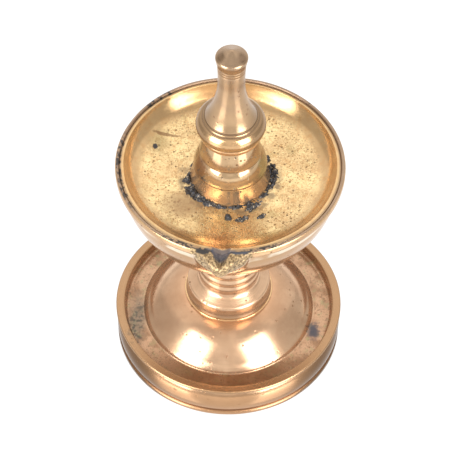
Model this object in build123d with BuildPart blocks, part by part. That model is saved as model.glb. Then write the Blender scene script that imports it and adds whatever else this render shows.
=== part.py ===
"""Standing brass oil lamp (diya): a hollow cast foot, a turned stem, an oil bowl with a pinched
wick beak, and a turned finial that rises through the oil.

The lamp is cast and turned in sections that screw together. +Z is up, the origin is the middle of
the ring that the foot stands on, and the wick beak points along -Y. All sizes are millimetres.
Each thread is drawn as a plain shaft in a plain hole, with a running gap between them.
"""

import os

from build123d import *

os.makedirs("parts", exist_ok=True)

# Driving dimensions
overall_height = 152.4
foot_radius = 41.0
bowl_radius = 40.0
bowl_rim_height = 94.0

# Joints between the sections
running_gap = 0.05  # radial gap between a thread's shaft and its hole
large_thread_radius = 5.0  # the stem's two spigots
small_thread_radius = 3.5  # the post stud that carries the finial
spigot_length = 8.0
large_bore_radius = large_thread_radius + running_gap
small_bore_radius = small_thread_radius + running_gap

# Base
base_rim_top = 14.6
base_rim_radius = foot_radius + 0.45
channel_floor = 11.0
dome_top = 23.05
dome_top_radius = 16.3
base_wall = 3.1
base_boss_radius = 9.5
base_boss_bottom = 12.0

# Stem, between two thin brass washers
stem_washer_thickness = 0.75
stem_washer_radius = 16.1
stem_bottom = dome_top + stem_washer_thickness
stem_foot_radius = 15.6
bowl_washer_thickness = 1.0
bowl_washer_radius = 10.6
bowl_seat = 58.4
stem_top = bowl_seat - bowl_washer_thickness
rib_radius = 11.3
rib_groove_radius = 10.75
rib_pitch = 3.8
rib_count = 4
ribs_bottom = 32.8

# Bowl: an outer cup with an oil pan set into a rebate in its mouth
pan_edge_radius = 37.05
pan_floor_height = bowl_rim_height - 7.0
pan_floor_radius = 26.0
pan_thickness = 1.2
pan_flange_radius = 38.5
rebate_floor = bowl_rim_height - 1.8
seam_depth = 0.6  # V-shaped seam between the pan's flange and the cup
seam_half_width = 0.4
cup_mouth_radius = 36.9
lip_bottom = bowl_rim_height - 3.2
cup_shoulder_radius = 38.3
cup_boss_radius = 9.0
cup_boss_top = pan_floor_height - pan_thickness
stud_bottom = 76.0

# Wick beak, cast in one with the cup
beak_reach = 46.4

# Central post: a collar, a thick ring and the finial, all on one stud
collar_top = 109.8
collar_foot_radius = 13.9
ring_thickness = 2.4
ring_radius = 10.6
finial_bottom = collar_top + ring_thickness
stud_top = finial_bottom + spigot_length
finial_bore_top = stud_top + 1.0
seal_radius = 16.0
seal_height = 1.5


def wall_arc_point(distance, angle):
    """A point on the pan's side wall, drawn as an arc that leaves the flat floor smoothly.

    distance is how far outside the wall's inner face the point lies, and angle goes from 0 at the
    floor to 1 at the pan's edge.
    """
    run = pan_edge_radius - pan_floor_radius
    rise = bowl_rim_height - pan_floor_height
    arc_radius = (run**2 + rise**2) / (2 * rise)
    sweep = Vector(run, arc_radius - rise).get_angle(Vector(0, 1)) * angle
    centre = Vector(pan_floor_radius, pan_floor_height + arc_radius)
    return centre + Vector(0, -arc_radius - distance).rotate(Axis.Z, sweep)


# Base: dished foot with a raised rim round a channel, and a dome in the middle that carries the
# stem. It is hollow underneath, with a threaded boss hanging from the dome.
dome_foot = (28.9, 14.1)
channel_inner = (31.2, channel_floor + 0.6)
with BuildPart() as base:
    with BuildSketch(Plane.XZ):
        with BuildLine():
            foot_lip = Polyline(
                (foot_radius - base_wall, 0),
                (foot_radius, 0),
                (foot_radius, 1.4),
                (foot_radius - 0.6, 1.8),
                (foot_radius - 0.5, 2.2),
            )
            skirt = ThreePointArc(foot_lip @ 1, (foot_radius + 0.1, 5.6), (foot_radius - 2.1, 11.4))
            waist = ThreePointArc(skirt @ 1, (foot_radius - 2.0, 12.4), (foot_radius - 0.8, 13.2))
            rim = Polyline(
                waist @ 1,
                (base_rim_radius, 13.7),
                (base_rim_radius, 14.2),
                (base_rim_radius - 0.4, base_rim_top),
                (38.5, base_rim_top),
                (38.2, base_rim_top - 0.3),
                (37.7, channel_floor + 0.5),
                (37.2, channel_floor),
                channel_inner,
            )
            ThreePointArc(rim @ 1, (30.1, 13.1), dome_foot)
            dome = ThreePointArc(dome_foot, (23.3, 19.3), (dome_top_radius, dome_top))
            bore = Polyline(
                dome @ 1,
                (large_bore_radius, dome_top),
                (large_bore_radius, base_boss_bottom),
                (base_boss_radius, base_boss_bottom),
                (base_boss_radius + 0.4, dome_top - base_wall - 0.9),
                (14.8, dome_top - base_wall),
            )
            under_dome = ThreePointArc(bore @ 1, (21.4, 16.6), (27.2, 11.6))
            Polyline(under_dome @ 1, (30.4, 8.0), (36.9, 7.6), foot_lip @ 0)
        make_face()
    revolve(axis=Axis.Z)
base.part.label = "base"
export_step(base.part, "parts/base.step")

# Stem washer: a thin bright ring between the dome and the stem's foot
with BuildPart() as stem_washer:
    with BuildSketch(Plane.XY.offset(dome_top)):
        Circle(stem_washer_radius)
        Circle(large_thread_radius + 0.3, mode=Mode.SUBTRACT)
    extrude(amount=stem_washer_thickness)
    rings = stem_washer.edges().filter_by(GeomType.CIRCLE)
    chamfer(rings.group_by(SortBy.RADIUS)[-1].sort_by(Axis.Z)[-1], 0.2)
stem_washer.part.label = "stem_washer"
export_step(stem_washer.part, "parts/stem_washer.step")

# Stem: a baluster with a stepped foot, a run of ribs and a knop at the top
with BuildPart() as stem:
    with BuildSketch(Plane.XZ):
        with BuildLine():
            lower_spigot = Polyline(
                (0, stem_bottom - spigot_length),
                (large_thread_radius - 0.8, stem_bottom - spigot_length),
                (large_thread_radius, stem_bottom - spigot_length + 0.8),
                (large_thread_radius, stem_bottom),
                (stem_foot_radius, stem_bottom),
                (stem_foot_radius - 0.2, stem_bottom + 0.5),
            )
            foot_wall = ThreePointArc(lower_spigot @ 1, (15.0, 26.0), (15.0, 27.8))
            foot_shoulder = ThreePointArc(foot_wall @ 1, (14.8, 28.7), (14.1, 29.25))
            foot_slope = Line(foot_shoulder @ 1, (11.4, 31.05))
            outline_end = (rib_groove_radius, ribs_bottom)
            ThreePointArc(foot_slope @ 1, (10.9, 31.7), outline_end)
            for rib in range(rib_count):
                rib_middle = ribs_bottom + (rib + 0.5) * rib_pitch
                rib_end = (rib_groove_radius, ribs_bottom + (rib + 1) * rib_pitch)
                ThreePointArc(outline_end, (rib_radius, rib_middle), rib_end)
                outline_end = rib_end
            knop_start = (11.3, 50.0)
            ThreePointArc(outline_end, (10.6, 49.4), knop_start)
            knop = ThreePointArc(knop_start, (12.8, 52.1), (11.6, 54.4))
            neck = ThreePointArc(knop @ 1, (10.3, 55.3), (10.2, 56.3))
            Polyline(
                neck @ 1,
                (bowl_washer_radius - 0.2, stem_top),
                (large_thread_radius, stem_top),
                (large_thread_radius, bowl_seat + spigot_length - 0.8),
                (large_thread_radius - 0.8, bowl_seat + spigot_length),
                (0, bowl_seat + spigot_length),
                lower_spigot @ 0,
            )
        make_face()
    revolve(axis=Axis.Z)
stem.part.label = "stem"
export_step(stem.part, "parts/stem.step")

# Bowl washer: a thin ring between the stem's head and the cup
with BuildPart() as bowl_washer:
    with BuildSketch(Plane.XY.offset(stem_top)):
        Circle(bowl_washer_radius)
        Circle(large_thread_radius + 0.3, mode=Mode.SUBTRACT)
    extrude(amount=bowl_washer_thickness)
bowl_washer.part.label = "bowl_washer"
export_step(bowl_washer.part, "parts/bowl_washer.step")

# Wick channel: the V-shaped space that is cut through the pan's wall and the beak. Each station is
# its distance from the lamp's axis, its half width above the rim, and the height of its floor.
channel_top = bowl_rim_height + 1.0
channel_stations = ((33.5, 6.8, 92.0), (44.2, 1.9, 90.4), (48.0, 1.5, 88.0))
with BuildPart() as wick_channel:
    for reach, half_width, floor in channel_stations:
        with BuildSketch(Plane(origin=(0, -reach, 0), x_dir=(1, 0, 0), z_dir=(0, -1, 0))):
            Polygon((-half_width, channel_top), (0, floor), (half_width, channel_top), align=None)
    loft(ruled=True)

# Wick beak, before it joins the cup: half-ellipse sections that shrink towards a blunt nose. Each
# station is its distance from the lamp's axis, its half width, and the heights of its top and bottom.
beak_stations = (
    (34.0, 12.0, bowl_rim_height, 75.5),
    (38.9, 9.4, bowl_rim_height, 81.6),
    (42.2, 5.4, bowl_rim_height, 85.0),
    (44.8, 3.4, bowl_rim_height - 0.2, 87.4),
    (beak_reach, 2.2, bowl_rim_height - 1.2, 89.6),
)
with BuildPart() as wick_beak:
    for reach, half_width, top, bottom in beak_stations:
        with BuildSketch(Plane(origin=(0, -reach, top), x_dir=(1, 0, 0), z_dir=(0, -1, 0))):
            with BuildLine():
                keel = EllipticalCenterArc((0, 0), half_width, top - bottom, 180, arc_size=180)
                Line(keel @ 1, keel @ 0)
            make_face()
    loft()
    nose = wick_beak.faces().sort_by(Axis.Y)[0]
    fillet(nose.edges(), 0.9)

# Bowl cup: the outer shell that is seen from the side, with a threaded boss up its middle
with BuildPart() as bowl_cup:
    with BuildSketch(Plane.XZ):
        with BuildLine():
            cup_side = ThreePointArc((11.0, bowl_seat), (29.6, 68.7), (cup_shoulder_radius, 90.2))
            Polyline(
                cup_side @ 1,
                (cup_shoulder_radius + 0.2, lip_bottom - 0.2),
                (bowl_radius - 0.3, lip_bottom),
                (bowl_radius, lip_bottom + 0.6),
                (bowl_radius, bowl_rim_height - 0.7),
                (bowl_radius - 0.5, bowl_rim_height),
                (0, bowl_rim_height),
                (0, bowl_seat),
                cup_side @ 0,
            )
        make_face()
    revolve(axis=Axis.Z)
    add(wick_beak.part)
    with BuildSketch(Plane.XZ):
        with BuildLine():
            inside = ThreePointArc((13.0, 62.0), (27.8, 70.6), (36.0, 89.0))
            Polyline(
                inside @ 1,
                (cup_mouth_radius, rebate_floor - 1.6),
                (cup_mouth_radius, rebate_floor),
                (pan_flange_radius, rebate_floor),
                (pan_flange_radius, bowl_rim_height - seam_depth),
                (pan_flange_radius + seam_half_width, bowl_rim_height),
                (pan_flange_radius + seam_half_width, bowl_rim_height + 1),
                (0, bowl_rim_height + 1),
                (0, cup_boss_top),
                (cup_boss_radius, cup_boss_top),
                (cup_boss_radius, 62.0),
                inside @ 0,
            )
        make_face()
    revolve(axis=Axis.Z, mode=Mode.SUBTRACT)
    with Locations((0, 0, cup_boss_top)):
        Hole(small_bore_radius, depth=cup_boss_top - stud_bottom)
    with Locations(Plane(origin=(0, 0, bowl_seat), z_dir=(0, 0, -1))):
        Hole(large_bore_radius, depth=spigot_length + 1)
    add(wick_channel.part, mode=Mode.SUBTRACT)
bowl_cup.part.label = "bowl_cup"
export_step(bowl_cup.part, "parts/bowl_cup.step")

# Oil pan: the shallow dish that holds the oil, with a flange that lies in the cup's rebate
with BuildPart() as oil_pan:
    with BuildSketch(Plane.XZ):
        with BuildLine():
            wall = ThreePointArc(
                wall_arc_point(0, 0), wall_arc_point(0, 0.5), wall_arc_point(0, 1)
            )
            under_wall = ThreePointArc(
                wall_arc_point(pan_thickness, 0),
                wall_arc_point(pan_thickness, 0.4),
                wall_arc_point(pan_thickness, 0.8),
            )
            Polyline(
                wall @ 1,
                (pan_flange_radius - seam_half_width, bowl_rim_height),
                (pan_flange_radius, bowl_rim_height - seam_depth),
                (pan_flange_radius, rebate_floor),
                (cup_mouth_radius - 0.2, rebate_floor),
                under_wall @ 1,
            )
            Polyline(
                under_wall @ 0,
                (small_bore_radius, pan_floor_height - pan_thickness),
                (small_bore_radius, pan_floor_height),
                wall @ 0,
            )
        make_face()
    revolve(axis=Axis.Z)
    add(wick_channel.part, mode=Mode.SUBTRACT)
oil_pan.part.label = "oil_pan"
export_step(oil_pan.part, "parts/oil_pan.step")

# Post stud: a threaded rod, screwed into the cup's boss, that the finial screws down on
with BuildPart() as post_stud:
    with BuildSketch(Plane.XY.offset(stud_bottom)):
        Circle(small_thread_radius)
    extrude(amount=stud_top - stud_bottom)
    chamfer(post_stud.edges().filter_by(GeomType.CIRCLE), 0.6)
post_stud.part.label = "post_stud"
export_step(post_stud.part, "parts/post_stud.step")

# Post collar: two tori over a flared foot, standing on the pan's floor
with BuildPart() as post_collar:
    with BuildSketch(Plane.XZ):
        with BuildLine():
            upper_torus = ThreePointArc((8.2, collar_top), (9.8, 105.4), (10.8, 101.7))
            groove = Polyline(upper_torus @ 1, (10.35, 101.4), (10.6, 101.1))
            lower_torus = ThreePointArc(groove @ 1, (12.1, 97.9), (12.85, 94.9))
            lower_groove = Polyline(lower_torus @ 1, (12.5, 94.6), (12.75, 94.3))
            flare = ThreePointArc(
                lower_groove @ 1, (13.0, 91.2), (collar_foot_radius, pan_floor_height + 1.2)
            )
            Polyline(
                flare @ 1,
                (collar_foot_radius, pan_floor_height),
                (small_bore_radius, pan_floor_height),
                (small_bore_radius, collar_top),
                upper_torus @ 0,
            )
        make_face()
    revolve(axis=Axis.Z)
post_collar.part.label = "post_collar"
export_step(post_collar.part, "parts/post_collar.step")

# Lac seal: black resin pressed round the collar's foot, which keeps the oil out of the thread
with BuildPart() as lac_seal:
    with BuildSketch(Plane.XZ):
        with BuildLine():
            crest = ThreePointArc(
                (collar_foot_radius, pan_floor_height + 1.1),
                (collar_foot_radius + 0.9, pan_floor_height + seal_height - 0.5),
                (seal_radius, pan_floor_height),
            )
            Polyline(crest @ 1, (collar_foot_radius, pan_floor_height), crest @ 0)
        make_face()
    revolve(axis=Axis.Z)
lac_seal.part.label = "lac_seal"
export_step(lac_seal.part, "parts/lac_seal.step")

# Finial ring: a thick round-edged washer under the bell of the finial
with BuildPart() as finial_ring:
    with BuildSketch(Plane.XZ):
        with BuildLine():
            round_edge = ThreePointArc(
                (ring_radius - 0.5, collar_top),
                (ring_radius, collar_top + ring_thickness / 2),
                (ring_radius - 0.3, finial_bottom),
            )
            Polyline(
                round_edge @ 1,
                (small_thread_radius + 0.3, finial_bottom),
                (small_thread_radius + 0.3, collar_top),
                round_edge @ 0,
            )
        make_face()
    revolve(axis=Axis.Z)
finial_ring.part.label = "finial_ring"
export_step(finial_ring.part, "parts/finial_ring.step")

# Finial: a bell with a long neck and a coned cap, bored from below for the stud
with BuildPart() as finial:
    with BuildSketch(Plane.XZ):
        with BuildLine():
            bell = ThreePointArc((10.5, finial_bottom), (12.1, 115.3), (10.0, 118.8))
            bell_grooves = Polyline(
                bell @ 1, (9.7, 118.75), (9.65, 119.2), (9.25, 119.5), (8.95, 119.45), (8.95, 119.9)
            )
            neck = ThreePointArc(bell_grooves @ 1, (6.15, 126.6), (4.65, 137.5))
            neck_grooves = Polyline(
                neck @ 1,
                (4.78, 142.8),
                (4.6, 143.1),
                (4.85, 143.4),
                (4.88, 144.0),
                (4.68, 144.3),
                (4.95, 144.6),
                (5.0, 145.4),
                (4.85, 145.6),
                (5.1, 145.9),
            )
            cap_side = ThreePointArc(neck_grooves @ 1, (5.4, 147.6), (5.55, 148.5))
            shoulder = ThreePointArc(cap_side @ 1, (5.4, 149.2), (4.85, 149.6))
            Polyline(
                shoulder @ 1,
                (0.4, overall_height - 0.1),
                (0, overall_height),
                (0, finial_bore_top),
                (small_bore_radius, finial_bore_top),
                (small_bore_radius, finial_bottom),
                bell @ 0,
            )
        make_face()
    revolve(axis=Axis.Z)
finial.part.label = "finial"
export_step(finial.part, "parts/finial.step")
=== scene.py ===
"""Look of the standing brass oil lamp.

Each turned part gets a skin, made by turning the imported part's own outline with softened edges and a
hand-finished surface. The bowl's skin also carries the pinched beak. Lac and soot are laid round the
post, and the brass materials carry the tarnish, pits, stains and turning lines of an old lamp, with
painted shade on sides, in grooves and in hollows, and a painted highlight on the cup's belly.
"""

import math

import bpy
import numpy as np
from mathutils import Matrix, Vector


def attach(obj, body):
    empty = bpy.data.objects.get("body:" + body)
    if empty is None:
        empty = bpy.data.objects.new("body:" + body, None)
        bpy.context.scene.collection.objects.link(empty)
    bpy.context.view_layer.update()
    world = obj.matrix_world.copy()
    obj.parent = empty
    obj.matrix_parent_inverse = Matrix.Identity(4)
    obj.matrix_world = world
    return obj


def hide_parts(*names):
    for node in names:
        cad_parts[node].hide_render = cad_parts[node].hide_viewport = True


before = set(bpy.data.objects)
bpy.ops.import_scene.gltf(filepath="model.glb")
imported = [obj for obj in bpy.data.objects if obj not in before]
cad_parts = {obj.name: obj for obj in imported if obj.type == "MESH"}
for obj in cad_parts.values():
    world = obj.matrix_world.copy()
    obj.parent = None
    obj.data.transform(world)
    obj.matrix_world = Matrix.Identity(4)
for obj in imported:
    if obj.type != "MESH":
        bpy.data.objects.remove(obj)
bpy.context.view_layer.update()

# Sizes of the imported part, in millimetres
RIM_HEIGHT = 94.0
LIP_RADIUS = 40.0
SEAM_RADIUS = 38.9  # outer edge of the seam between the oil pan and the cup
PAN_FLOOR = 87.0
COLLAR_FOOT_RADIUS = 13.9
CHANNEL_FLOOR = 11.6  # of the channel round the base's dome
STUD_HOLE_RADIUS = 3.55
STEM_HOLE_RADIUS = 5.05
CUP_BOSS_RADIUS = 9.0
CUP_BOSS_TOP = 85.8  # the pan's floor rests on it
CUP_BOTTOM = 58.4
BEAK_REACHES = (34.0, 38.9, 42.2, 44.8, 46.4)
BEAK_HALF_WIDTHS = (12.0, 9.4, 5.4, 3.4, 2.2)
BEAK_TOPS = (94.0, 94.0, 94.0, 93.8, 92.8)
BEAK_BOTTOMS = (75.5, 81.6, 85.0, 87.4, 89.6)
NOTCH_REACHES = (33.5, 38.9, 42.5, 44.6, 46.0, 48.0)
NOTCH_HALF_WIDTHS = (6.4, 4.6, 2.8, 2.0, 1.8, 1.8)
NOTCH_FLOORS = (92.0, 91.4, 91.5, 92.5, 93.0, 93.0)
NOTCH_TOP = RIM_HEIGHT + 1.0
BEAK_SECTOR = 0.36  # radians to each side of the beak where the columns are closer together
CLOSING_GAP = 5.0  # an outline with a wider gap runs to the axis


# Surface noise and outlines


def ripples(points, size, seed, waves=16):
    """Smooth noise, from about -1 to 1, with bumps about size millimetres across."""
    rng = np.random.default_rng(seed)
    directions = rng.normal(size=(waves, 3))
    directions /= np.linalg.norm(directions, axis=1)[:, None]
    lengths = size * rng.uniform(0.7, 1.6, waves)
    phases = rng.uniform(0, 2 * math.pi, waves)
    total = np.zeros(points.shape[:-1])
    for direction, length, phase in zip(directions, lengths, phases):
        total += np.sin(points @ direction * (math.pi / length) + phase)
    return total / math.sqrt(waves)


def seam_chains(node):
    """Runs of (radius, height) points along a turned CAD node's seam, in the half plane y = 0,
    x > 0. The runs break at flat faces, whose mesh doesn't follow the seam."""
    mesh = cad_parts[node].data
    points = np.empty(len(mesh.vertices) * 3)
    mesh.vertices.foreach_get("co", points)
    points = points.reshape(-1, 3) * 1000
    on_seam = (np.abs(points[:, 1]) < 1e-3) & (points[:, 0] > -1e-3)
    name = {i: tuple(np.round(points[i][[0, 2]], 3)) for i in np.flatnonzero(on_seam)}
    links = {place: set() for place in name.values()}
    for edge in mesh.edges:
        one, other = edge.vertices
        if one in name and other in name and name[one] != name[other]:
            links[name[one]].add(name[other])
            links[name[other]].add(name[one])
    chains = []
    while links:
        ends = [place for place, near in links.items() if len(near) < 2]
        chain = [min(ends or links)]
        while True:
            onward = sorted(links[chain[-1]] - set(chain))
            if not onward:
                break
            chain.append(onward[0])
        for place in chain:
            del links[place]
        for near in links.values():
            near -= set(chain)
        chains.append(chain)
    return chains


def seam_outline(node):
    """A turned CAD node's outline as ordered (radius, height) rows in millimetres, and whether it
    closes on itself. An outline that doesn't close starts and ends on the lamp's axis."""
    chains = sorted(seam_chains(node), key=len)
    path = chains.pop()
    while chains:
        joins = []
        for index, chain in enumerate(chains):
            for old in (path, path[::-1]):
                for added in (chain, chain[::-1]):
                    joins.append((math.dist(old[-1], added[0]), index, old + added))
        _, index, path = min(joins)
        chains.pop(index)
    (first_radius, first_height), (last_radius, last_height) = path[0], path[-1]
    off_axis = min(first_radius, last_radius) > 1e-3
    level = abs(first_height - last_height) < 0.01
    closed = off_axis and (level or math.dist(path[0], path[-1]) < CLOSING_GAP)
    if not closed:
        ends = [[(0.0, place[1])] if place[0] > 1e-3 else [] for place in (path[0], path[-1])]
        path = ends[0] + path + ends[1]
    return np.array(path), closed


def arc(start, middle, end, steps=40):
    """Points along the circle through three (radius, height) points, worked out with the points as
    complex numbers."""
    start, middle, end = (complex(*point) for point in (start, middle, end))
    ratio = (end - start) / (middle - start)
    centre = start + (middle - start) * (ratio - abs(ratio) ** 2) / (2j * ratio.imag)
    spoke = start - centre
    half_way = np.angle((middle - centre) / spoke)
    sweep = np.angle((end - centre) / spoke)
    if sweep * half_way < 0 or abs(half_way) > abs(sweep):
        sweep -= math.copysign(2 * math.pi, sweep)
    line = centre + spoke * np.exp(1j * sweep * np.linspace(0, 1, steps))
    return list(zip(line.real, line.imag))


def cup_outline():
    """The cup's outline without its beak, from the bottom of the stud's hole, round the inside and
    over the lip to the bottom, and up the hole for the stem."""
    stud_hole = [(0, 76), (STUD_HOLE_RADIUS, 76), (STUD_HOLE_RADIUS, CUP_BOSS_TOP)]
    boss = [(CUP_BOSS_RADIUS, CUP_BOSS_TOP), (CUP_BOSS_RADIUS, 62)]
    inside = arc((13, 62), (27.8, 70.6), (36, 89))
    rebate = [(36.9, 90.6), (36.9, 92.2), (38.5, 92.2), (38.5, 93.4), (SEAM_RADIUS, RIM_HEIGHT)]
    lip = [(39.5, RIM_HEIGHT), (LIP_RADIUS, 93.3), (LIP_RADIUS, 91.4), (39.7, 90.8), (38.5, 90.6)]
    wall = arc((38.3, 90.2), (29.6, 68.7), (11, CUP_BOTTOM))
    stem_hole = [(STEM_HOLE_RADIUS, CUP_BOTTOM), (STEM_HOLE_RADIUS, 67.4), (0, 67.4)]
    return np.array([*stud_hole, *boss, *inside, *rebate, *lip, *wall, *stem_hole])


def soften(outline, closed, rounding, spacing):
    """The outline with its corners rounded over about rounding millimetres, and rows no further
    apart than spacing. Rows stay closer together where it turns."""
    fine = 0.1
    closest = 0.12
    most_turn = 0.14
    if closed:
        outline = np.vstack([outline, outline[:1]])
    lengths = np.hypot(*np.diff(outline, axis=0).T)
    along = np.concatenate([[0], np.cumsum(lengths)])
    places = np.linspace(0, along[-1], int(along[-1] / fine) + 1)
    dense = np.column_stack([np.interp(places, along, outline[:, k]) for k in (0, 1)])
    reach = int(3 * rounding / fine) + 1
    weights = np.exp(-0.5 * (np.arange(-reach, reach + 1) * fine / rounding) ** 2)
    weights /= weights.sum()
    if closed:
        dense = dense[:-1]
        padded = np.vstack([dense[-reach:], dense, dense[:reach]])
    else:
        padded = np.vstack(
            [2 * dense[0] - dense[reach:0:-1], dense, 2 * dense[-1] - dense[-2 : -reach - 2 : -1]]
        )
    smooth = np.column_stack([np.convolve(padded[:, k], weights, "valid") for k in (0, 1)])
    steps = np.diff(smooth, axis=0)
    headings = np.unwrap(np.arctan2(steps[:, 1], steps[:, 0]))
    kept = [0]
    for i in range(1, len(smooth) - 1):
        gone = (i - kept[-1]) * fine
        turned = abs(headings[i] - headings[kept[-1]])
        if gone >= spacing or (turned > most_turn and gone >= closest):
            kept.append(i)
    if not closed:
        kept.append(len(smooth) - 1)
    rows = smooth[kept]
    rows[:, 0] = np.maximum(rows[:, 0], 0)
    return rows


def signed_area(rows):
    """The area inside the outline, doubled. It is above 0 where the outline turns left."""
    ahead = np.roll(rows, -1, axis=0)
    return np.sum(rows[:, 0] * ahead[:, 1] - ahead[:, 0] * rows[:, 1])


def outward(rows, closed):
    """Unit normals of the outline's rows, pointing out of the metal."""
    if closed:
        tangents = np.roll(rows, -1, axis=0) - np.roll(rows, 1, axis=0)
    else:
        tangents = np.gradient(rows, axis=0)
    tangents /= np.maximum(np.linalg.norm(tangents, axis=1), 1e-9)[:, None]
    normals = np.column_stack([tangents[:, 1], -tangents[:, 0]])
    return normals if signed_area(rows) > 0 else -normals


def even_columns(count):
    """Angles all the way round, evenly spaced."""
    return np.arange(count) * 2 * math.pi / count


def beak_columns():
    """Angles round the bowl, close together near the beak, which is at angle 0."""
    near = np.linspace(-BEAK_SECTOR, BEAK_SECTOR, 240)
    far = np.linspace(BEAK_SECTOR, 2 * math.pi - BEAK_SECTOR, 380)[1:-1]
    return np.concatenate([near, far])


def turned_points(rows, angles):
    """Every row turned to every angle. Angle 0 is the beak's side, -Y, and it grows towards +X."""
    radius = np.broadcast_to(rows[:, 0], (len(angles), len(rows)))
    height = np.broadcast_to(rows[:, 1], radius.shape)
    angle = angles[:, None]
    return np.stack([radius * np.sin(angle), -radius * np.cos(angle), height], axis=-1)


def mesh_object(name, points, faces, material):
    """A smooth object from points in millimetres."""
    mesh = bpy.data.meshes.new(name)
    mesh.from_pydata((points * 0.001).tolist(), [], faces)
    mesh.materials.append(material)
    mesh.shade_smooth()
    mesh.validate()
    mesh.update()
    obj = bpy.data.objects.new(name, mesh)
    bpy.context.scene.collection.objects.link(obj)
    return obj


def grid_faces(columns, rows, closed_rows):
    """Quads between neighbouring columns, all the way round, and neighbouring rows."""
    column = np.arange(columns)[:, None]
    row = np.arange(rows if closed_rows else rows - 1)[None, :]
    beside = (column + 1) % columns
    above = (row + 1) % rows
    corners = (column * rows + row, beside * rows + row, beside * rows + above, column * rows + above)
    return np.stack(np.broadcast_arrays(*corners), axis=-1).reshape(-1, 4)


def join_axis_rows(points, faces):
    """Faces that meet on the lamp's axis share one vertex there, and become triangles."""
    flat = points.reshape(-1, 3)
    on_axis = np.hypot(flat[:, 0], flat[:, 1]) < 1e-6
    first = {}
    same = np.arange(len(flat))
    for i in np.flatnonzero(on_axis):
        same[i] = first.setdefault(round(float(flat[i, 2]), 4), i)
    faces = same[faces]
    kept = []
    for face in faces.tolist():
        corners = [v for k, v in enumerate(face) if v != face[k - 1]]
        if len(corners) > 2:
            kept.append(corners)
    used = np.unique(np.concatenate([np.array(f) for f in kept]))
    number = np.full(len(flat), -1)
    number[used] = np.arange(len(used))
    return flat[used], [[int(number[v]) for v in f] for f in kept]


def finish_noise(points, waviness, seed):
    """How far the hand-finished surface lies below the turned one, in millimetres."""
    broad = ripples(points, 9.0, seed) * waviness
    fine = ripples(points, 2.6, seed + 1) * waviness * 0.16
    depth = waviness * 1.6 + broad + fine
    return np.maximum(depth, 0)


def turned_skin(name, node, material, angles, rounding=0.12, spacing=0.5, waviness=0.02, seed=1,
                reshape=None, extra_rows=None):
    """A skin that stands for a turned CAD node. extra_rows(rows) may add rows to its outline, and
    reshape(points) may bend it further. The cup has its outline from cup_outline, because its beak
    breaks the seam of its mesh."""
    if node == "bowl_cup":
        outline, closed = cup_outline(), False
    else:
        outline, closed = seam_outline(node)
    rows = soften(outline, closed, rounding, spacing)
    if extra_rows is not None:
        rows = extra_rows(rows)
    normals = outward(rows, closed)
    points = turned_points(rows, angles)
    directions = turned_points(normals, angles)
    points = points - directions * finish_noise(points, waviness, seed)[..., None]
    if not closed:
        points[:, [0, -1], :2] = 0
        points[:, [0, -1], 2] = points[:1, [0, -1], 2]
    if reshape is not None:
        points = reshape(points)
    faces = grid_faces(len(angles), len(rows), closed)
    if signed_area(rows) < 0:
        faces = faces[:, ::-1]
    if closed:
        flat, faces = points.reshape(-1, 3), faces.tolist()
    else:
        flat, faces = join_axis_rows(points, faces)
    obj = mesh_object(name, flat, faces, material)
    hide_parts(node)
    return obj


# Shape of the beak and its notch


def beak_extent(angle, height):
    """Distance from the axis to the beak's surface, at an angle and a height. It is 0 where the
    beak isn't met."""
    extent = np.zeros(angle.shape)
    for distance in np.arange(36.0, BEAK_REACHES[-1] + 0.01, 0.08):
        reach = distance * np.cos(angle)
        half_width = np.interp(reach, BEAK_REACHES, BEAK_HALF_WIDTHS, right=0)
        top = np.interp(reach, BEAK_REACHES, BEAK_TOPS)
        depth = top - np.interp(reach, BEAK_REACHES, BEAK_BOTTOMS)
        share = np.clip((top - height) / depth, 0, 1)
        inside = np.abs(distance * np.sin(angle)) <= half_width * np.sqrt(1 - share**2)
        inside &= (reach <= BEAK_REACHES[-1]) & (height <= top + 0.02) & (share < 1)
        extent = np.where(inside, distance, extent)
    return extent


def notch_height(points):
    """Height of the notch's V-shaped surface over each point."""
    reach = -points[..., 1]
    half_width = np.interp(reach, NOTCH_REACHES, NOTCH_HALF_WIDTHS)
    floor = np.interp(reach, NOTCH_REACHES, NOTCH_FLOORS)
    height = floor + (np.abs(points[..., 0]) / half_width) ** 1.3 * (NOTCH_TOP - floor)
    return np.where(reach > NOTCH_REACHES[0] - 1.5, height, np.inf)


def cut_notch(points, raised=0.0):
    """Lowers whatever stands above the notch, to raised millimetres over its rough surface."""
    roughness = 0.12 * ripples(points, 1.1, 31) + 0.05 * ripples(points, 0.4, 32)
    surface = notch_height(points) + roughness + raised
    points[..., 2] = np.minimum(points[..., 2], surface)
    return points


def cup_side_rows():
    """The cup's outer wall and lip as (radius, height) rows of rising height."""
    outline = cup_outline()
    rim = np.flatnonzero((outline[:, 0] > 39.4) & (outline[:, 1] == RIM_HEIGHT))[0]
    return outline[rim:-3][::-1]


CUP_SIDE = cup_side_rows()


def wall_radius(height):
    """The cup's outer radius at a height, without the beak."""
    return np.interp(height, CUP_SIDE[:, 1], CUP_SIDE[:, 0])


def round_ramp(value, blend):
    """0 where value is well below 0 and value where it is well above, with a round bend between."""
    return blend * np.log1p(np.exp(value / blend))


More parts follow.
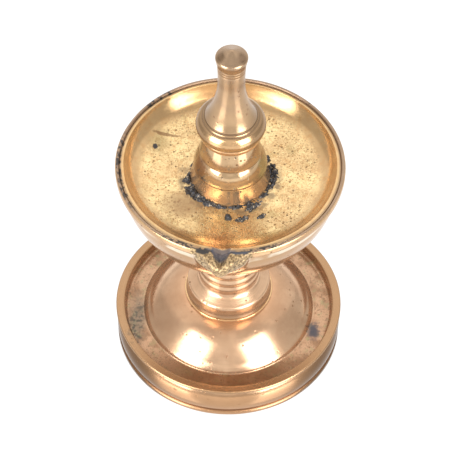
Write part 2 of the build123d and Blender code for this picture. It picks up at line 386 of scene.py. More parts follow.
def add_beak(points):
    """Pushes the cup's outer wall and lip out to the beak. The rim's flat is stretched from the
    seam to the lip."""
    angle = np.arctan2(points[..., 0], -points[..., 1])
    radius = np.hypot(points[..., 0], points[..., 1])
    height = points[..., 2]
    near = np.abs(angle) < BEAK_SECTOR - 0.02
    outer_side = near & (radius > 30) & (radius > wall_radius(height) - 1.15)
    radius = radius[outer_side]
    height = height[outer_side]
    beak = beak_extent(angle[outer_side], np.minimum(height, BEAK_TOPS[0]))
    no_beak = -3.0
    gap = np.maximum(beak - wall_radius(height), no_beak)
    push = round_ramp(gap, 0.5) - round_ramp(no_beak, 0.5)
    share = np.clip((radius - SEAM_RADIUS) / (LIP_RADIUS - 0.6 - SEAM_RADIUS), 0, 1)
    share = np.where(height > RIM_HEIGHT - 0.9, share, 1)
    scale = 1 + np.maximum(push, 0) * share / radius
    pushed = points.copy()
    pushed[outer_side, 0] *= scale
    pushed[outer_side, 1] *= scale
    return pushed


def cheek_mask(points):
    """1 on the rough cast skin beside the notch, fading to 0 round it."""
    across = np.abs(points[..., 0])
    reach = -points[..., 1]
    radius = np.hypot(points[..., 0], points[..., 1])
    edge = 0.5 * ripples(points, 2.0, 41)
    inner = np.clip((across - 1.2) / 0.8, 0, 1)
    outer = np.clip((10.6 + edge - across) / 0.5, 0, 1)
    below = np.clip((points[..., 2] - 86.6 - edge) / 0.7, 0, 1)
    front = np.clip((reach - 37.4) / 0.4, 0, 1) * np.clip((radius - 39.5) / 0.3, 0, 1)
    return inner * outer * below * front


def roughen_cheeks(points):
    """Sinks and roughens the cast skin beside the notch, which was never filed smooth."""
    mask = cheek_mask(points)
    grain = 0.16 * ripples(points, 1.0, 43) + 0.10 * ripples(points, 0.45, 44)
    sunk = mask * (0.22 + grain)
    radius = np.hypot(points[..., 0], points[..., 1])
    scale = 1 - np.maximum(sunk, 0) / np.maximum(radius, 1)
    points[..., 0] *= scale
    points[..., 1] *= scale
    return points


def shape_cup(points):
    """The beak, its rough cheeks and the notch for the wick."""
    return cut_notch(roughen_cheeks(add_beak(points)))


def shape_pan(points):
    """Cuts the pan a little higher than the cup, so that the two surfaces don't coincide."""
    return cut_notch(points, raised=0.08)


def rim_rows(rows):
    """More rows across the flat of the rim, so that the beak's top can be stretched out of them."""
    flat = (rows[:, 1] > RIM_HEIGHT - 0.2) & (rows[:, 0] > SEAM_RADIUS - 0.1)
    first, last = np.flatnonzero(flat)[[0, -1]]
    steps = np.linspace(0, 1, 26)[:, None]
    run = rows[first] * (1 - steps) + rows[last] * steps
    return np.vstack([rows[:first], run, rows[last + 1 :]])


# Materials


def srgb(red, green, blue):
    """A colour from 0 to 255 as Blender's linear RGBA."""
    return (*(((share / 255 + 0.055) / 1.055) ** 2.4 for share in (red, green, blue)), 1.0)


class Brass:
    """A material built up in layers over a base metal. Lengths are in millimetres, and places are
    in the lamp's own frame."""

    def __init__(self, name, colour, roughness, anisotropy=0.3, metal=0.82):
        self.material = bpy.data.materials.new(name)
        self.material.use_nodes = True
        self.nodes = self.material.node_tree.nodes
        self.links = self.material.node_tree.links
        self.shader = self.nodes["Principled BSDF"]
        self.shader.inputs["Anisotropic"].default_value = anisotropy
        tangent = self.nodes.new("ShaderNodeTangent")
        tangent.direction_type = "RADIAL"
        tangent.axis = "Z"
        self.links.new(tangent.outputs[0], self.shader.inputs["Tangent"])
        coordinates = self.nodes.new("ShaderNodeTexCoord").outputs["Object"]
        self.place = self.vector("MULTIPLY", coordinates, (1000, 1000, 1000))
        separate = self.nodes.new("ShaderNodeSeparateXYZ")
        self.links.new(self.place, separate.inputs[0])
        self.x, self.y, self.z = separate.outputs
        x_squared = self.math("MULTIPLY", self.x, self.x)
        y_squared = self.math("MULTIPLY", self.y, self.y)
        self.radius = self.math("SQRT", self.math("ADD", x_squared, y_squared))
        self.across = self.math("ABSOLUTE", self.x)
        self.colour = colour
        self.roughness = roughness
        self.metal = metal
        self.height = None

    def feed(self, value, socket):
        """Links value to the socket if it is another node's output, and otherwise sets it there."""
        if isinstance(value, bpy.types.NodeSocket):
            self.links.new(value, socket)
        else:
            socket.default_value = value

    def node(self, kind, inputs, **settings):
        """A new node. inputs has a value or another node's output for a socket's name or number."""
        made = self.nodes.new(kind)
        for key, value in settings.items():
            setattr(made, key, value)
        for key, value in inputs.items():
            self.feed(value, made.inputs[key])
        return made

    def math(self, operation, *values):
        return self.node("ShaderNodeMath", dict(enumerate(values)), operation=operation).outputs[0]

    def vector(self, operation, *values):
        return self.node("ShaderNodeVectorMath", dict(enumerate(values)), operation=operation).outputs[0]

    def noise(self, size, seed, detail=3.0, place=None):
        """Noise from 0 to 1 with features about size millimetres across."""
        inputs = {"Vector": place or self.place, "Scale": 1 / size, "Detail": detail, "W": seed * 7.3}
        return self.node("ShaderNodeTexNoise", inputs, noise_dimensions="4D").outputs["Fac"]

    def step(self, value, low, high):
        """0 below low and 1 above high, with a smooth change between. low may be above high."""
        inputs = {"Value": value, "From Min": low, "From Max": high}
        made = self.node("ShaderNodeMapRange", inputs, interpolation_type="SMOOTHSTEP")
        return made.outputs[0]

    def clouds(self, size, seed, low, high, detail=3.0):
        """Patches about size millimetres across, where the noise rises from low to high."""
        return self.step(self.noise(size, seed, detail), low, high)

    def grooves(self, size, seed, drift=0.02):
        """Noise that runs round the axis in fine rings, as a turning tool leaves it."""
        angle = self.math("ARCTAN2", self.x, self.y)
        drifted = self.math("MULTIPLY", angle, drift)
        place = self.node("ShaderNodeCombineXYZ", {0: self.radius, 1: self.z, 2: drifted})
        return self.noise(size, seed, 2.0, place.outputs[0])

    def pits(self, size, seed, share):
        """Round pits on a share of a grid of cells size millimetres across."""
        inputs = {"Vector": self.place, "Scale": 1 / size, "Randomness": 1.0}
        cells = self.node("ShaderNodeTexVoronoi", inputs)
        chosen = self.node("ShaderNodeSeparateColor", {0: cells.outputs["Color"]}).outputs[0]
        chosen = self.math("LESS_THAN", chosen, share)
        return self.math("MULTIPLY", self.step(cells.outputs["Distance"], 0.42, 0.16), chosen)

    def spot(self, centre, size, seed=1, ragged=0.5, grain=1.5, inner=0.75):
        """A ragged patch round a place. size is its half length along x, y and z. The patch is full
        out to inner times its size, and fades from there."""
        offset = self.vector("SUBTRACT", self.place, centre)
        offset = self.vector("DIVIDE", offset, size)
        length = self.node("ShaderNodeVectorMath", {0: offset}, operation="LENGTH").outputs["Value"]
        edge = self.math("MULTIPLY_ADD", self.noise(grain, seed, 4.0), 2 * ragged, 1 - ragged)
        return self.step(self.math("DIVIDE", length, edge), 1.1, inner)

    def band(self, value, middle, half_width):
        """1 where value is within half_width of middle."""
        distance = self.math("ABSOLUTE", self.math("SUBTRACT", value, middle))
        return self.step(distance, half_width, half_width * 0.6)

    def both(self, *masks):
        """1 where all the masks are 1."""
        result = masks[0]
        for mask in masks[1:]:
            result = self.math("MULTIPLY", result, mask)
        return result

    def blend(self, mask, below, above):
        """The number below where mask is 0, and the number above where it is 1."""
        return self.node("ShaderNodeMix", {"Factor": mask, "A": below, "B": above}).outputs[0]

    def blend_colours(self, mask, below, above):
        """As blend, for colours. The node's colour sockets share their names with other kinds."""
        inputs = {"Factor": mask, 6: below, 7: above}
        return self.node("ShaderNodeMix", inputs, data_type="RGBA").outputs[2]

    def layer(self, mask, colour=None, roughness=None, metal=None, height=0.0, strength=1.0):
        """Lays a finish over the ones before, where mask is 1."""
        if strength != 1.0:
            mask = self.math("MULTIPLY", mask, strength)
        if colour is not None:
            self.colour = self.blend_colours(mask, self.colour, colour)
        if roughness is not None:
            self.roughness = self.blend(mask, self.roughness, roughness)
        if metal is not None:
            self.metal = self.blend(mask, self.metal, metal)
        if height:
            raised = self.math("MULTIPLY", mask, height)
            self.height = raised if self.height is None else self.math("ADD", self.height, raised)

    def finish(self):
        """Connects the layers to the shader. Heights become a bump in real millimetres."""
        self.feed(self.colour, self.shader.inputs["Base Color"])
        self.feed(self.roughness, self.shader.inputs["Roughness"])
        self.feed(self.metal, self.shader.inputs["Metallic"])
        if self.height is not None:
            inputs = {"Height": self.height, "Distance": 0.001, "Strength": 1.0}
            bump = self.node("ShaderNodeBump", inputs)
            self.links.new(bump.outputs[0], self.shader.inputs["Normal"])
        return self.material


ROSY = srgb(212, 178, 144)
ROSY_DARK = srgb(172, 132, 102)
GOLD = srgb(233, 204, 150)
GOLD_BROWN = srgb(186, 148, 106)
PALE = srgb(190, 160, 122)
GREENISH = srgb(150, 145, 105)
BROWN = srgb(120, 84, 56)
GRIME = srgb(46, 42, 40)
SLATE = srgb(80, 84, 96)
SEAM_TONE = srgb(128, 108, 94)
ROSY_BROWN = srgb(178, 136, 98)


def turned_brass(name, colour, dark, roughness=0.17, seed=1):
    """The finish that all the turned parts share: clouds of tarnish, fine turning lines, a few
    pits, and wear that changes the roughness."""
    brass = Brass(name, colour, roughness)
    brass.layer(brass.clouds(14, seed, 0.42, 0.68), dark, roughness + 0.05, strength=0.45)
    brass.layer(brass.clouds(3.0, seed + 1, 0.45, 0.75, 5.0), dark, roughness + 0.08, strength=0.35)
    brass.layer(brass.clouds(6.0, seed + 2, 0.60, 0.78), GREENISH, roughness + 0.1, strength=0.25)
    brass.layer(brass.grooves(0.35, seed + 3), dark, None, height=0.004, strength=0.5)
    brass.layer(brass.noise(0.8, seed + 4, 5.0), None, None, height=0.006)
    brass.layer(brass.pits(1.4, seed + 5, 0.08), BROWN, 0.45, height=-0.03, strength=0.8)
    return brass


def soot_patches(brass):
    """Soot caught in the seam of the rim, thick on the left, thin at the back and in a few spots."""
    grains = brass.clouds(1.3, 53, 0.44, 0.56, 4.0)
    left = brass.both(brass.step(brass.x, -28, -36), brass.step(brass.y, 14, 6))
    rear_left = brass.spot((-27, 27, 93.5), (6, 6, 5), 57, 0.5, 3.0)
    front = brass.step(brass.y, -30, -36)
    anywhere = brass.clouds(5.0, 58, 0.62, 0.7)
    placed = anywhere
    for place in (left, rear_left, front):
        placed = brass.math("MAXIMUM", placed, place)
    return brass.both(grains, placed)


def base_brass():
    """Rosy brass with a worn rim, grime and painted shade in the channel, and painted shade on the skirt.
    """
    brass = turned_brass("base_brass", ROSY, ROSY_DARK, 0.17, 11)
    brass.layer(brass.clouds(9, 12, 0.40, 0.70, 5.0), srgb(160, 122, 92), 0.26, strength=0.45)
    brass.layer(brass.step(brass.radius, 24, 15), srgb(196, 148, 110), None, strength=0.5)
    rim_top = brass.both(brass.step(brass.z, 13.3, 13.9), brass.step(brass.radius, 37, 38))
    brass.layer(rim_top, srgb(172, 136, 98), 0.24, strength=0.85)
    brass.layer(brass.both(rim_top, brass.grooves(0.5, 17)), srgb(140, 104, 76), 0.3, strength=0.5)
    in_channel = brass.both(brass.band(brass.radius, 34.6, 4.2), brass.step(brass.z, 14.8, 12.4))
    # Painted shade: the whole channel is made darker.
    brass.layer(in_channel, ROSY_DARK, 0.28, strength=0.6)
    brass.layer(brass.both(in_channel, brass.clouds(5.0, 21, 0.42, 0.62, 5.0)), BROWN, 0.36, strength=0.5)
    in_patches = brass.both(in_channel, brass.clouds(2.0, 28, 0.50, 0.66, 5.0))
    brass.layer(in_patches, GREENISH, 0.36, strength=0.5)
    # Painted shade: the front of the channel is darker still.
    channel_front = brass.both(in_channel, brass.step(brass.y, -18, -32))
    brass.layer(channel_front, srgb(128, 96, 70), 0.3, strength=0.6)
    left_stain = brass.spot((-33, -10, CHANNEL_FLOOR), (5, 17, 4), 22, 0.8, 3.0, 0.2)
    brass.layer(left_stain, srgb(108, 104, 92), 0.4, strength=0.6)
    left_soot = brass.spot((-33, -12, CHANNEL_FLOOR), (4, 15, 4), 26, 0.8, 3.0, 0.3)
    left_soot = brass.both(left_soot, brass.clouds(1.2, 27, 0.46, 0.6))
    brass.layer(left_soot, srgb(78, 78, 72), 0.5, strength=0.75)
    dust = brass.both(in_channel, brass.clouds(0.8, 29, 0.54, 0.64, 4.0))
    brass.layer(dust, srgb(110, 88, 68), 0.4, strength=0.45)
    right_soot = brass.spot((32, -9, CHANNEL_FLOOR), (3.0, 4.8, 4), 23, 0.9, 1.4, 0.3)
    brass.layer(right_soot, srgb(70, 74, 84), 0.45, strength=0.9)
    dent = brass.spot((-16.6, -37.4, 8.3), (0.9, 0.7, 0.6), 24, 0.5, 0.8)
    brass.layer(dent, GRIME, 0.5, height=-0.05)
    # Painted shade: the skirt below its shoulder is darker, and darker still towards the left and right
    # sides.
    skirt = brass.both(brass.step(brass.radius, 38.6, 39.4), brass.step(brass.z, 11.6, 9.4))
    brass.layer(skirt, ROSY_BROWN, 0.2, 0.9, strength=0.75)
    sides = brass.step(brass.math("ABSOLUTE", brass.math("ADD", brass.x, -2.0)), 14, 34)
    brass.layer(brass.both(skirt, sides), srgb(104, 78, 54), 0.24, strength=0.9)
    # Painted shade: a brown band in the hollow under the rim.
    under_rim = brass.both(brass.step(brass.radius, 38.6, 39.4), brass.band(brass.z, 12.3, 0.7))
    brass.layer(under_rim, BROWN, 0.3, strength=0.6)
    # Painted shade: a brown line in the groove above the foot's lip.
    foot_groove_shade = brass.both(brass.band(brass.z, 1.9, 0.5), brass.step(brass.radius, 39.5, 40.0))
    brass.layer(foot_groove_shade, BROWN, 0.4, strength=0.8)
    return brass.finish()


def stem_brass():
    """Rosy brass, duller on the wall of the foot, with dirt where the foot meets the washer."""
    brass = turned_brass("stem_brass", ROSY, ROSY_DARK, 0.23, 31)
    brass.layer(brass.band(brass.z, 24.4, 0.5), BROWN, 0.35, strength=0.6)
    foot_wall = brass.both(brass.step(brass.z, 28.0, 27.2), brass.step(brass.radius, 14.0, 14.6))
    brass.layer(foot_wall, srgb(168, 136, 104), 0.26, strength=0.6)
    return brass.finish()


def washer_brass():
    return turned_brass("washer_brass", srgb(228, 190, 140), ROSY_DARK, 0.14, 41).finish()


def cup_brass():
    """Rosy brass with painted shade low on the outside and a painted highlight on the belly in front,
    a sooty seam on the rim, rough speckled cheeks beside the notch and a slate-coloured stain inside it."""
    brass = turned_brass("cup_brass", srgb(208, 172, 132), srgb(168, 130, 96), 0.15, 51)
    # Painted shade: the cup's outside is darker towards the bottom.
    brass.layer(brass.step(brass.z, 89.5, 85.5), srgb(188, 148, 106), None, 0.9, strength=0.7)
    # Painted highlight: a near-white, shiny band on the front of the belly, standing in for a reflection.
    painted_belly_highlight = brass.both(brass.band(brass.z, 88.6, 2.4), brass.step(brass.y, -14, -26))
    painted_belly_highlight = brass.both(painted_belly_highlight, brass.clouds(12, 48, 0.30, 0.50))
    brass.layer(painted_belly_highlight, srgb(252, 238, 214), 0.12, 0.92, strength=0.85)
    above = brass.step(brass.z, 92.6, 93.2)
    brass.layer(brass.both(above, brass.clouds(2.2, 52, 0.4, 0.6)), srgb(170, 140, 100), 0.35, strength=0.7)
    seam = brass.both(brass.band(brass.radius, SEAM_RADIUS + 0.1, 0.8), above)
    brass.layer(seam, SEAM_TONE, 0.42, 0.6, strength=0.7)
    brass.layer(brass.both(seam, soot_patches(brass)), GRIME, 0.5, 0.2, strength=0.95)
    in_front = brass.step(brass.y, -37.2, -38.2)
    narrow = brass.step(brass.across, 10.9, 10.2)
    cheeks = brass.both(in_front, narrow, brass.step(brass.z, 86.4, 87.4))
    cheeks = brass.both(cheeks, brass.step(brass.radius, 39.2, 39.8))
    brass.layer(cheeks, srgb(176, 150, 112), 0.42, 0.7, strength=0.85)
    speckle = brass.clouds(0.65, 54, 0.46, 0.58, 4.0)
    brass.layer(brass.both(cheeks, speckle), srgb(98, 78, 54), 0.5, height=-0.1, strength=0.85)
    pale_grains = brass.clouds(0.8, 49, 0.56, 0.66, 4.0)
    brass.layer(brass.both(cheeks, pale_grains), srgb(232, 204, 152), 0.4, height=0.06, strength=0.8)
    notch = brass.both(in_front, brass.step(brass.z, 93.9, 93.3), brass.step(brass.radius, 43.0, 40.6))
    notch = brass.both(notch, brass.step(brass.across, 5.4, 3.6), brass.step(brass.z, 90.6, 91.2))
    brass.layer(notch, SLATE, 0.42, 0.6, strength=0.85)
    brass.layer(brass.spot((-6.2, -38.8, 94), (2.7, 1.7, 1.6), 55, 0.5, 1.0), GRIME, 0.5, 0.2)
    right_soot = brass.spot((6.0, -38.6, 94), (4.6, 1.2, 1.6), 56, 0.8, 1.0, 0.5)
    brass.layer(right_soot, srgb(62, 64, 72), 0.5, 0.2)
    return brass.finish()


def pan_brass():
    """Golden brass, pitted and grainy on the floor, smoother on the wall, with dark dirt near the
    post and a few stains."""
    brass = Brass("pan_brass", GOLD, 0.17, 0.2, 0.8)
    brass.layer(brass.clouds(9, 61, 0.40, 0.62, 4.0), GOLD_BROWN, 0.24, strength=0.6)
    brass.layer(brass.clouds(5, 79, 0.52, 0.68, 4.0), srgb(168, 148, 98), 0.26, strength=0.5)
    on_wall = brass.step(brass.radius, 28.0, 34.0)
    brass.layer(on_wall, srgb(200, 162, 116), 0.2, 0.88, strength=0.75)
    brass.layer(brass.clouds(2.2, 62, 0.46, 0.72, 6.0), srgb(196, 146, 92), 0.28, strength=0.45)
    on_floor = brass.step(brass.radius, 34.0, 28.0)
    pitted = brass.both(on_floor, brass.clouds(7.0, 59, 0.36, 0.56, 4.0))
    small_pits = brass.both(pitted, brass.pits(0.75, 63, 0.5))
    brass.layer(small_pits, srgb(112, 84, 54), 0.5, height=-0.04, strength=0.75)
    large_pits = brass.both(on_floor, brass.pits(1.3, 64, 0.25))
    brass.layer(large_pits, srgb(92, 66, 44), 0.55, height=-0.07, strength=0.8)
    brass.layer(brass.both(on_floor, brass.noise(0.7, 65, 5.0)), None, 0.34, height=0.02, strength=0.5)
    brown_grains = brass.both(on_floor, brass.clouds(0.9, 60, 0.5, 0.62))
    brass.layer(brown_grains, srgb(168, 128, 82), None, strength=0.55)
    bright_grains = brass.both(on_floor, brass.clouds(0.5, 80, 0.54, 0.62))
    brass.layer(bright_grains, srgb(250, 226, 168), None, strength=0.5)
    dark_grains = brass.both(pitted, brass.clouds(0.5, 45, 0.60, 0.66))
    brass.layer(dark_grains, srgb(104, 78, 48), 0.4, strength=0.8)
    near_post = brass.both(brass.band(brass.radius, 15.0, 4.0), brass.clouds(3.0, 78, 0.40, 0.58, 4.0))
    near_post = brass.both(near_post, brass.step(brass.y, 10, -4))
    brass.layer(near_post, srgb(92, 78, 64), 0.45, 0.5, strength=0.65)
    front_left = brass.spot((-15, -14, PAN_FLOOR), (11, 10, 4), 66, 0.7, 3.0, 0.1)
    brass.layer(front_left, srgb(150, 118, 84), 0.32, strength=0.8)
    round_speck = brass.spot((-26.0, 13, 88), (5, 7, 4), 67, 0.9, 3.0, 0.1)
    brass.layer(round_speck, srgb(140, 124, 82), 0.3, strength=0.55)
    brass.layer(brass.spot((-27.2, 10.8, 88.2), (1.0, 1.3, 2), 68, 0.3, 0.8), GRIME, 0.5, 0.1)
    streak = brass.spot((-23.5, 16.5, 88), (5.5, 0.7, 3), 69, 0.9, 1.2)
    brass.layer(streak, BROWN, 0.4, strength=0.7)
    front_stain = brass.spot((-1, -28, 88), (9, 5, 4), 70, 0.9, 2.0, 0.1)
    brass.layer(front_stain, srgb(164, 108, 68), 0.3, strength=0.7)
    specks = brass.spot((-1, -30, 88.5), (6, 5, 4), 76, 0.6, 2.0, 0.2)
    specks = brass.both(specks, brass.clouds(0.8, 77, 0.52, 0.62))
    brass.layer(specks, srgb(96, 62, 42), 0.5, strength=0.8)
    seam = brass.both(brass.band(brass.radius, 38.4, 0.7), brass.step(brass.z, 92.6, 93.2))
    brass.layer(seam, SEAM_TONE, 0.42, 0.6, strength=0.5)
    brass.layer(brass.both(seam, soot_patches(brass)), GRIME, 0.5, 0.2, strength=0.95)
    notch = brass.both(brass.step(brass.y, -36.0, -37.0), brass.step(brass.z, 93.9, 93.3))
    notch = brass.both(notch, brass.step(brass.across, 5.8, 4.2))
    brass.layer(notch, SLATE, 0.42, 0.6, strength=0.8)
    return brass.finish()


def collar_brass():
    """Pale brass with painted shade on the sides and in the grooves, and pits and soot low on the left."""
    brass = turned_brass("collar_brass", srgb(218, 188, 146), srgb(162, 130, 98), 0.12, 71)
    # Painted shade: the collar is darker towards the left and right sides.
    sides = brass.step(brass.across, 5.0, 10.5)
    brass.layer(sides, srgb(140, 116, 86), None, strength=0.6)
    brass.layer(brass.step(brass.z, 94.4, 93.6), srgb(202, 166, 132), 0.2, strength=0.6)
    left_stain = brass.spot((-10, -6.5, 98), (4.0, 4.5, 6), 72, 0.7, 1.6, 0.4)
    brass.layer(left_stain, BROWN, 0.4, strength=0.75)
    left_pits = brass.spot((-9.5, -8.5, 95), (4.5, 5, 6), 78, 0.7, 1.6, 0.3)
    left_pits = brass.both(left_pits, brass.clouds(0.9, 79, 0.5, 0.6))
    brass.layer(left_pits, GRIME, 0.5, 0.3, height=-0.05, strength=0.9)
    brass.layer(brass.spot((11.5, -3.0, 97), (3, 4, 4.5), 73, 0.8, 2.0), GREENISH, 0.3, strength=0.6)
    dark_pits = brass.both(brass.pits(1.1, 74, 0.3), brass.clouds(4.0, 75, 0.5, 0.62))
    brass.layer(dark_pits, GRIME, 0.6, 0.3, height=-0.08)
    # Painted shade: brown bands in the grooves, the top one in the ring's shadow.
    for groove in (109.6, 101.35, 94.5):
        brass.layer(brass.band(brass.z, groove, 0.35), BROWN, 0.4, strength=0.8)
    return brass.finish()


def finial_brass():
    """Pale brass with painted shade on the sides, on the cap's tip and in the turned grooves under the bell
    and the cap.
    """
    brass = turned_brass("finial_brass", PALE, srgb(160, 130, 98), 0.19, 81)
    brass.layer(brass.step(brass.z, 120.5, 117.5), srgb(208, 168, 118), 0.14, strength=0.8)
    # Painted shade: brown lines in the turned grooves under the cap.
    for groove in (143.1, 144.3, 145.6):
        brass.layer(brass.band(brass.z, groove, 0.25), BROWN, 0.4, strength=0.7)
    # Painted shade: dark lines in the turned grooves on the bell.
    for radius, height in ((9.85, 118.95), (9.1, 119.7)):
        line = brass.both(brass.band(brass.radius, radius, 0.3), brass.band(brass.z, height, 0.4))
        brass.layer(line, srgb(74, 54, 36), 0.45, strength=0.9)
    # Painted shade: the cap's tip is darker, and darker still on both sides of the cone.
    brass.layer(brass.step(brass.z, 148.2, 150.0), srgb(152, 130, 108), 0.26, strength=0.7)
    for side in (-1, 1):
        shade = brass.spot((3.6 * side, -1.4, 150.0), (2.4, 3.0, 2.4), 83, 0.2, 2.0, 0.3)
        brass.layer(shade, srgb(66, 52, 36), 0.3, strength=0.95)
    on_neck = brass.both(brass.step(brass.z, 124, 132), brass.clouds(4, 84, 0.4, 0.7))
    brass.layer(on_neck, srgb(150, 126, 104), 0.24, strength=0.6)
    # Painted shade: the finial is darker towards the left and right sides.
    flanks = brass.step(brass.across, 4.0, 9.0)
    brass.layer(flanks, srgb(112, 90, 62), 0.24, strength=0.75)
    brass.layer(brass.grooves(0.8, 82), srgb(176, 142, 112), 0.24, height=0.012, strength=0.5)
    return brass.finish()


def ring_brass():
    return turned_brass("ring_brass", srgb(226, 182, 132), ROSY_DARK, 0.15, 91).finish()


def stud_brass():
    return turned_brass("stud_brass", GOLD_BROWN, BROWN, 0.3, 95).finish()


def crust_material():
    """Black lac with soot and pale grains of spent wick pressed into it."""
    crust = Brass("lac_and_soot", srgb(30, 28, 29), 0.5, 0.0, 0.0)
    crust.layer(crust.clouds(1.6, 101, 0.48, 0.66, 5.0), srgb(62, 64, 72), 0.42, strength=0.7)
    crust.layer(crust.clouds(0.7, 102, 0.58, 0.68, 4.0), srgb(190, 172, 146), 0.5, strength=0.8)
    crust.layer(crust.noise(0.5, 103, 5.0), None, None, height=0.25)
    return crust.finish()


# The lamp's skins

base = turned_skin("base_skin", "base", base_brass(), even_columns(480), waviness=0.022, seed=3)
stem_washer = turned_skin("stem_washer_skin", "stem_washer", washer_brass(), even_columns(240),
                          rounding=0.08, waviness=0.01, seed=5)
stem = turned_skin("stem_skin", "stem", stem_brass(), even_columns(240), waviness=0.015, seed=7)
# The bowl's washer hardly shows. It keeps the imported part's own plain finish.
plain_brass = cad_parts["bowl_washer"].data.materials[0]
bowl_washer = turned_skin("bowl_washer_skin", "bowl_washer", plain_brass, even_columns(200),
                          rounding=0.1, waviness=0.01, seed=9)
cup = turned_skin("bowl_cup_skin", "bowl_cup", cup_brass(), beak_columns(), waviness=0.02, seed=13,
                  reshape=shape_cup, extra_rows=rim_rows, spacing=0.4)
pan = turned_skin("oil_pan_skin", "oil_pan", pan_brass(), beak_columns(), waviness=0.03, seed=17,
                  reshape=shape_pan, spacing=0.35)
collar = turned_skin("post_collar_skin", "post_collar", collar_brass(), even_columns(300),
                     waviness=0.02, seed=19)
ring = turned_skin("finial_ring_skin", "finial_ring", ring_brass(), even_columns(240),
                   waviness=0.01, seed=23)
finial = turned_skin("finial_skin", "finial", finial_brass(), even_columns(300), waviness=0.015, seed=29)

bodies = {
    "base": (base, "base_brass"),
    "stem_washer": (stem_washer, "washer_brass"),
    "stem": (stem, "stem_brass"),
    "bowl_washer": (bowl_washer, "washer_brass"),
    "bowl": (cup, "cup_brass"),
    "finial_ring": (ring, "ring_brass"),
    "finial": (finial, "finial_brass"),
}
for body, (obj, slot) in bodies.items():
    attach(obj, body)
for obj, slot in ((pan, "pan_brass"), (collar, "collar_brass")):
    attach(obj, "bowl")

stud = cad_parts["post_stud"]
stud.data.materials.clear()
stud.data.materials.append(stud_brass())


# Lac and soot round the post

NO_CRUST = -0.6  # where the sheet lies under the pan's floor
CLUMPS = (
    # angle from the beak in degrees, distance from the axis, half length, half width, height
    (-58, 14.9, 5.5, 1.9, 1.8),
    (-40, 14.6, 4.0, 1.6, 1.6),
    (-22, 14.3, 3.5, 0.9, 1.2),
    (-6, 14.3, 3.5, 0.8, 1.0),
    (10, 14.3, 2.6, 0.7, 1.0),
    (-80, 14.5, 3.0, 1.2, 1.3),
    (32, 15.2, 2.6, 1.5, 1.5),
    (42, 15.4, 1.6, 1.2, 1.2),
    (62, 14.9, 2.0, 0.9, 1.2),
    (84, 15.2, 3.0, 1.3, 1.5),
    (104, 15.3, 4.0, 1.5, 1.7),
    (126, 15.0, 2.2, 1.0, 1.1),
    (2, 18.4, 1.2, 1.2, 0.8),
    (17, 19.6, 2.1, 1.1, 0.9),
    (36, 20.8, 1.5, 0.8, 0.6),
)


def crust_points(angles, radii):
    """Heights of the lac and soot over the pan's floor. Where there is none, the sheet lies just
    under the floor."""
    angle, radius = np.meshgrid(angles, radii, indexing="ij")
    flat = np.stack([radius * np.sin(angle), -radius * np.cos(angle), np.zeros(angle.shape)], axis=-1)
    rugged = 0.6 * ripples(flat, 1.6, 111) + 0.45 * ripples(flat, 0.6, 112)
    height = np.full(angle.shape, NO_CRUST)
    for degrees, distance, half_length, half_width, top in CLUMPS:
        turn = np.angle(np.exp(1j * (angle - math.radians(degrees))))
        along = turn * distance / half_length
        outwards = (radius - distance) / half_width
        near = 1 - along**2 - outwards**2 + 0.95 * rugged
        height = np.maximum(height, top * np.clip(near, NO_CRUST, 1.2))
    from_collar = (radius - COLLAR_FOOT_RADIUS - 0.1) / 0.7
    thin_ring = 0.45 * (1 - from_collar**2) + 0.5 * rugged - 0.15
    height = np.maximum(height, np.clip(thin_ring, NO_CRUST, 1.0))
    height += 0.2 * ripples(flat, 0.45, 113) * (height > -0.3)
    flat[..., 2] = PAN_FLOOR + np.clip(0.75 * height, -0.5, 1.8)
    return flat


crust_angles = even_columns(720)
crust_radii = np.arange(13.4, 22.6, 0.16)
crust_grid = crust_points(crust_angles, crust_radii)
crust_faces = grid_faces(len(crust_angles), len(crust_radii), False)[:, ::-1].tolist()
crust = mesh_object("lac_and_soot", crust_grid.reshape(-1, 3), crust_faces, crust_material())
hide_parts("lac_seal")
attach(crust, "bowl")


# Floor, light and camera


def studio_floor():
    """A white light table with a polished top."""
    bpy.ops.mesh.primitive_plane_add(size=6, location=(0, 0, 0))
    floor = bpy.context.object
    floor.name = "floor"
    material = bpy.data.materials.new("floor_white")
    material.use_nodes = True
    inputs = material.node_tree.nodes["Principled BSDF"].inputs
    inputs["Base Color"].default_value = (0.03, 0.03, 0.03, 1)
    inputs["Emission Color"].default_value = (1, 1, 1, 1)
    inputs["Emission Strength"].default_value = 0.98
    inputs["Roughness"].default_value = 0.04
    inputs["IOR"].default_value = 1.8
    floor.data.materials.append(material)


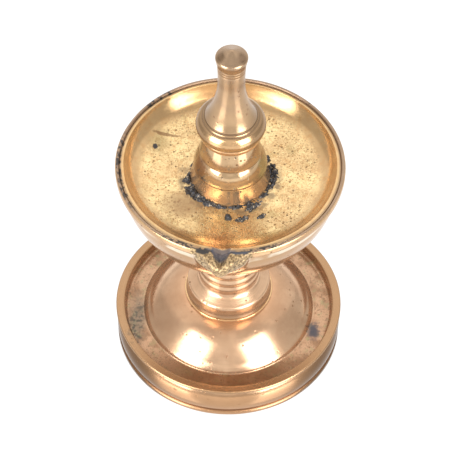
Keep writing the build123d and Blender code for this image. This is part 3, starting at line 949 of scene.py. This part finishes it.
def softbox(name, azimuth, elevation, distance, width, height, radiance):
    """A panel light that faces the lamp. Azimuth 0 is the beak's side."""
    turn, rise = math.radians(azimuth), math.radians(elevation)
    away = Vector((math.sin(turn) * math.cos(rise), -math.cos(turn) * math.cos(rise), math.sin(rise)))
    data = bpy.data.lights.new(name, "AREA")
    data.shape = "RECTANGLE"
    data.size = width
    data.size_y = height
    data.energy = radiance * math.pi * width * height
    light = bpy.data.objects.new(name, data)
    light.location = away * distance + Vector((0, 0, 0.06))
    light.rotation_mode = "QUATERNION"
    light.rotation_quaternion = away.to_track_quat("Z", "Y")
    bpy.context.scene.collection.objects.link(light)


def studio_light():
    """Two tall softboxes in front, large weak panels behind and a weak one over the camera."""
    world = bpy.data.worlds.new("studio")
    world.use_nodes = True
    background = world.node_tree.nodes["Background"].inputs
    background["Color"].default_value = (1, 0.985, 0.97, 1)
    background["Strength"].default_value = 0.6
    bpy.context.scene.world = world
    for side, azimuth in (("left", -43), ("right", 47)):
        softbox("key_" + side, azimuth, 26, 0.9, 0.50, 0.80, 9.0)
    softbox("rear_fill", 184, 54, 0.95, 1.5, 1.0, 0.4)
    softbox("rear_fill_wide", 184, 50, 1.0, 3.2, 2.1, 0.5)
    softbox("front_fill", 4, 38, 1.05, 0.42, 1.3, 0.35)


def photo_camera():
    """The camera looks down steeply from a little right of the beak, with a slight roll."""
    data = bpy.data.cameras.new("camera")
    data.sensor_width = 36
    data.lens = 218.2
    data.clip_start = 0.05
    data.clip_end = 20
    camera = bpy.data.objects.new("camera", data)
    position = Vector((0.0420, -0.6004, 0.8215))
    target = Vector((-0.0016, -0.0001, 0.0594))
    camera.location = position
    camera.rotation_mode = "QUATERNION"
    look = (target - position).to_track_quat("-Z", "Y")
    roll = Matrix.Rotation(math.radians(0.65), 3, "Z").to_quaternion()
    camera.rotation_quaternion = look @ roll
    bpy.context.scene.collection.objects.link(camera)
    bpy.context.scene.camera = camera


studio_floor()
studio_light()
photo_camera()
bpy.context.scene.view_settings.view_transform = "Standard"
